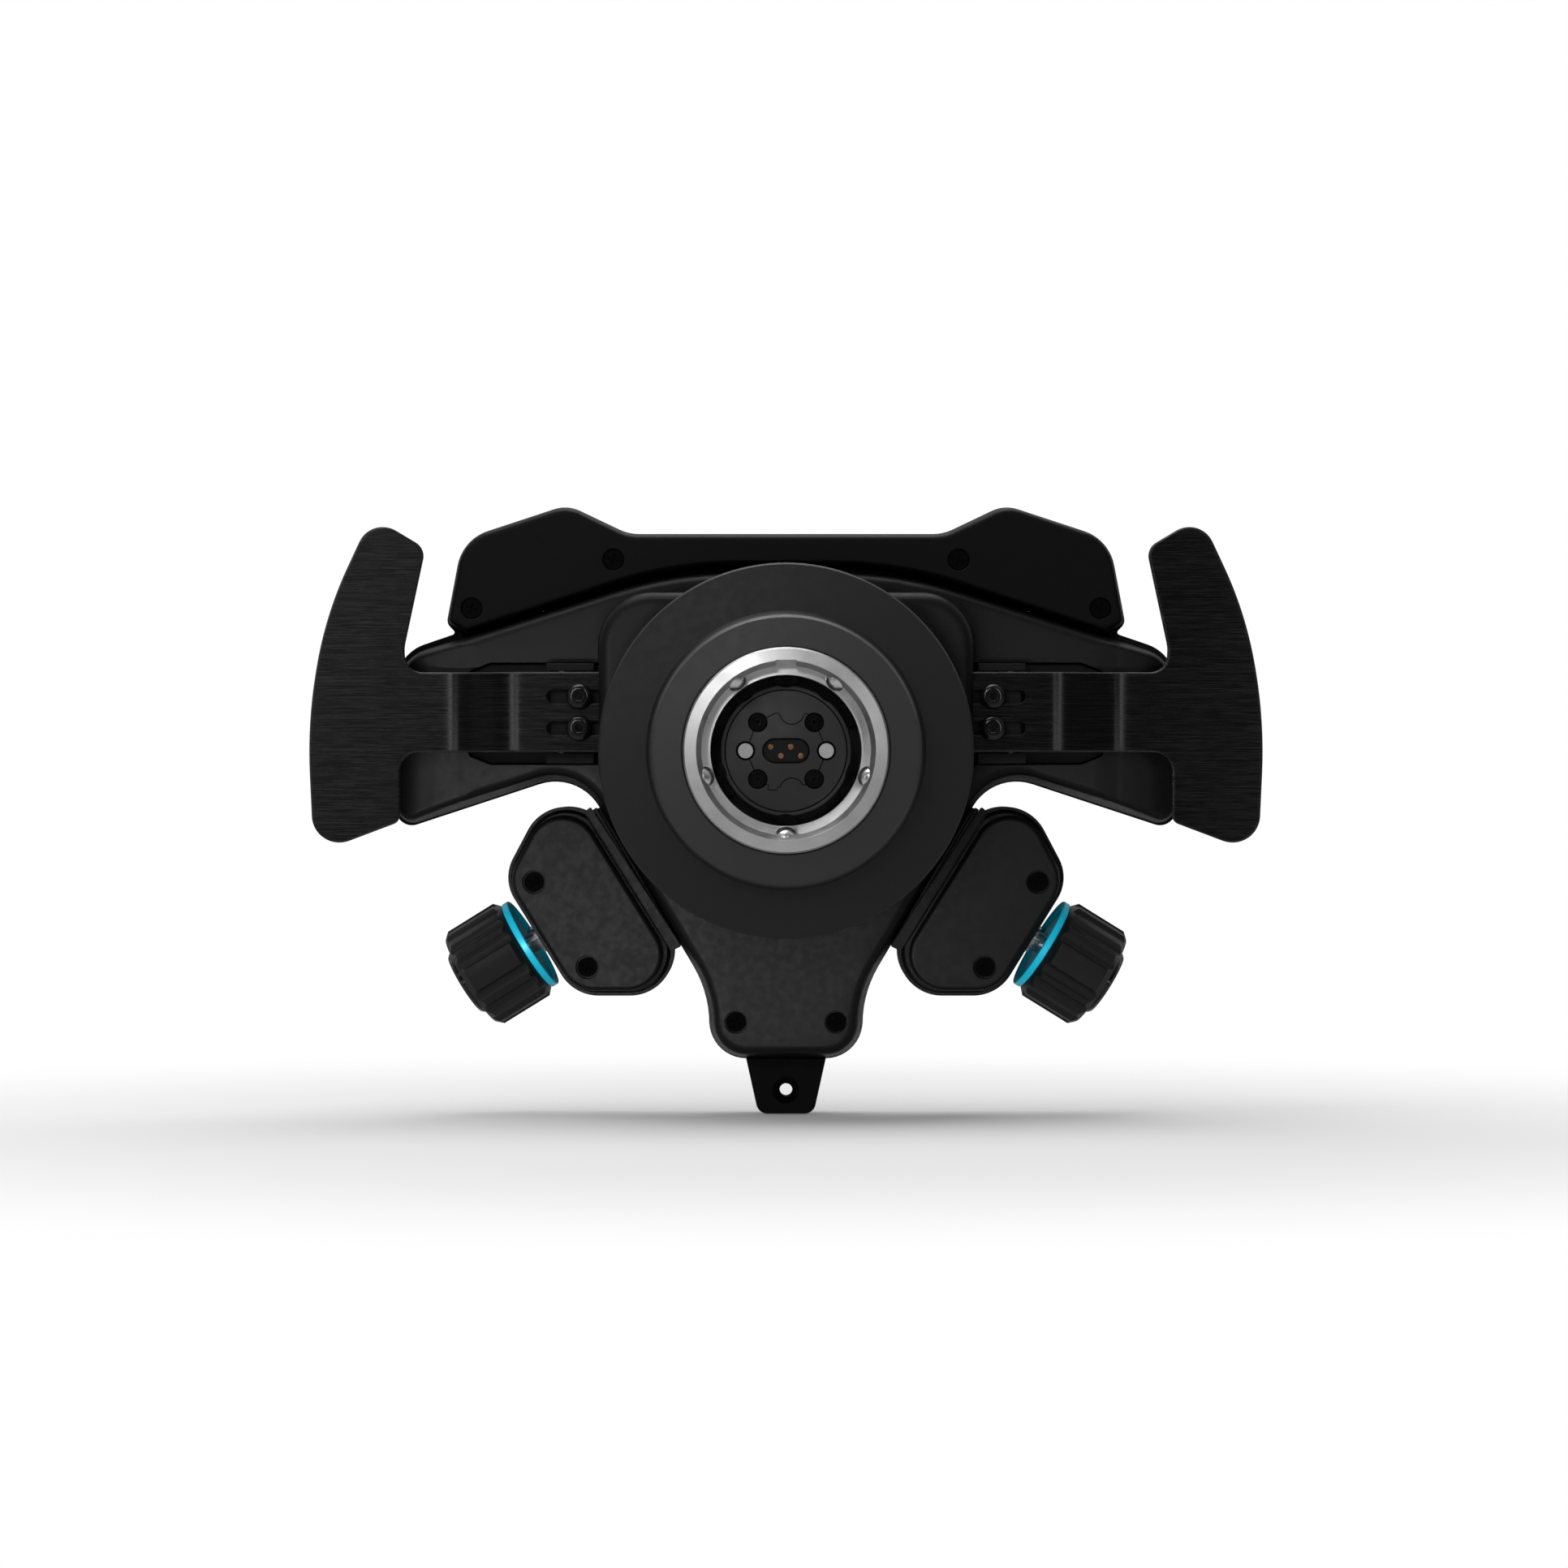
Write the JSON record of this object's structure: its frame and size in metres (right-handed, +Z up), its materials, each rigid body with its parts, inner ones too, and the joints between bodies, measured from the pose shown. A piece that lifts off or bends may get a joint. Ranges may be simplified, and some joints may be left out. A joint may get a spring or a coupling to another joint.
{
  "type": "racing wheel hub",
  "caption": "Sim-racing wheel hub and button module with a quick release, two shift paddles, two thumb encoders and a front rim flange.",
  "frame": {"origin": "on the turning axis at the mouth of the socket bore, 8 mm inside the quick-release ring's rear face", "axes": "+Y along the turning axis towards the driver, +Z up with the wheel straight, +X to the right seen from behind the wheel"},
  "size_m": [0.2806, 0.0868, 0.1808],
  "materials": {
    "ring_steel": "satin turned",
    "polished_steel": "polished",
    "anodised_black": "matte black anodised",
    "hub_alloy": "machined",
    "spring_steel": "ground",
    "black_screws": "black oxide",
    "gold_contacts": "gold plated",
    "inner_plastic": "matte",
    "cable_rubber": "matte",
    "circuit_board": "solder mask",
    "housing_plastic": "fine texture",
    "ear_plastic": "fine texture",
    "smoked_lens": "smoked gloss",
    "paddle_brushed": "black brushed anodised",
    "knob_black": "satin",
    "knob_cap_gloss": "gloss",
    "ring_blue": "blue anodised",
    "bezel_metal": "satin black",
    "button_plastic": "satin"
  },
  "bodies": {
    "hub": {"board_posts": "hub_alloy", "button_bezels": "bezel_metal", "circuit_boards": "circuit_board", "connector_insert": "anodised_black", "connector_plate": "anodised_black", "cover_screws": "black_screws", "drive_balls": "polished_steel", "encoder_cases": "spring_steel", "front_cap": "housing_plastic", "front_housing": "housing_plastic", "harness_cable": "cable_rubber", "hub_core": "hub_alloy", "insert_dowels": "polished_steel", "insert_screws": "black_screws", "light_bar_lens": "smoked_lens", "pod_bracket_left": "housing_plastic", "pod_bracket_right": "housing_plastic", "pod_cover_left": "housing_plastic", "pod_cover_right": "housing_plastic", "pod_housing_left": "housing_plastic", "pod_housing_right": "housing_plastic", "pogo_block": "inner_plastic", "pogo_pins": "gold_contacts", "qr_body": "anodised_black", "qr_bolts": "black_screws", "qr_ring": "ring_steel", "rear_cover": "housing_plastic", "release_spring": "spring_steel", "shifter_frame_left": "inner_plastic", "shifter_frame_right": "inner_plastic", "shifter_hinge_pins": "spring_steel", "shifter_magnets": "polished_steel", "shifter_switches": "inner_plastic", "upper_rear_cover": "ear_plastic"},
    "collar": {"release_collar": "anodised_black", "lock_ring": "spring_steel"},
    "paddle_left": {"shift_paddle_left": "paddle_brushed", "paddle_screws_left": "black_screws", "shifter_rocker_left": "inner_plastic", "rocker_magnet_left": "polished_steel"},
    "encoder_left": {"knob_left": "knob_black", "knob_ring_left": "ring_blue", "knob_cap_left": "knob_cap_gloss", "encoder_shaft_left": "spring_steel"},
    "paddle_right": {"shift_paddle_right": "paddle_brushed", "paddle_screws_right": "black_screws", "shifter_rocker_right": "inner_plastic", "rocker_magnet_right": "polished_steel"},
    "encoder_right": {"knob_right": "knob_black", "knob_ring_right": "ring_blue", "knob_cap_right": "knob_cap_gloss", "encoder_shaft_right": "spring_steel"},
    "cap_left_inner": {"button_left_inner": "button_plastic"},
    "cap_left_outer": {"button_left_outer": "button_plastic"},
    "cap_left_top": {"button_left_top": "button_plastic"},
    "cap_pod_left": {"button_pod_left": "button_plastic"},
    "cap_pod_right": {"button_pod_right": "button_plastic"},
    "cap_right_inner": {"button_right_inner": "button_plastic"},
    "cap_right_outer": {"button_right_outer": "button_plastic"},
    "cap_right_top": {"button_right_top": "button_plastic"}
  },
  "joints": [
    {"name": "release_slide", "type": "slide", "parent": "hub", "child": "collar", "axis": [0, 1, 0], "range_m": [0, 0.004], "stiffness_N_per_m": 2000},
    {"name": "paddle_pull_left", "type": "hinge", "parent": "hub", "child": "paddle_left", "pos_m": [-0.066, 0.0345, 0.0115], "axis": [0, 0, -1], "range_deg": [0, 4], "stiffness_Nm_per_rad": 1.5},
    {"name": "paddle_pull_right", "type": "hinge", "parent": "hub", "child": "paddle_right", "pos_m": [0.066, 0.0345, 0.0115], "axis": [0, 0, 1], "range_deg": [0, 4], "stiffness_Nm_per_rad": 1.5},
    {"name": "knob_turn_left", "type": "hinge", "parent": "hub", "child": "encoder_left", "pos_m": [-0.07641, 0.057, -0.05747], "axis": [-0.8481, 0.0698, -0.5252], "continuous": true},
    {"name": "knob_turn_right", "type": "hinge", "parent": "hub", "child": "encoder_right", "pos_m": [0.07641, 0.057, -0.05747], "axis": [0.8481, 0.0698, -0.5252], "continuous": true},
    {"name": "press_left_inner", "type": "slide", "parent": "hub", "child": "cap_left_inner", "axis": [0, -1, 0], "range_m": [0, 0.0015], "stiffness_N_per_m": 300},
    {"name": "press_left_outer", "type": "slide", "parent": "hub", "child": "cap_left_outer", "axis": [0, -1, 0], "range_m": [0, 0.0015], "stiffness_N_per_m": 300},
    {"name": "press_left_top", "type": "slide", "parent": "hub", "child": "cap_left_top", "axis": [0, -1, 0], "range_m": [0, 0.0015], "stiffness_N_per_m": 300},
    {"name": "press_pod_left", "type": "slide", "parent": "hub", "child": "cap_pod_left", "axis": [0, -1, 0], "range_m": [0, 0.0015], "stiffness_N_per_m": 300},
    {"name": "press_pod_right", "type": "slide", "parent": "hub", "child": "cap_pod_right", "axis": [0, -1, 0], "range_m": [0, 0.0015], "stiffness_N_per_m": 300},
    {"name": "press_right_inner", "type": "slide", "parent": "hub", "child": "cap_right_inner", "axis": [0, -1, 0], "range_m": [0, 0.0015], "stiffness_N_per_m": 300},
    {"name": "press_right_outer", "type": "slide", "parent": "hub", "child": "cap_right_outer", "axis": [0, -1, 0], "range_m": [0, 0.0015], "stiffness_N_per_m": 300},
    {"name": "press_right_top", "type": "slide", "parent": "hub", "child": "cap_right_top", "axis": [0, -1, 0], "range_m": [0, 0.0015], "stiffness_N_per_m": 300}
  ]
}
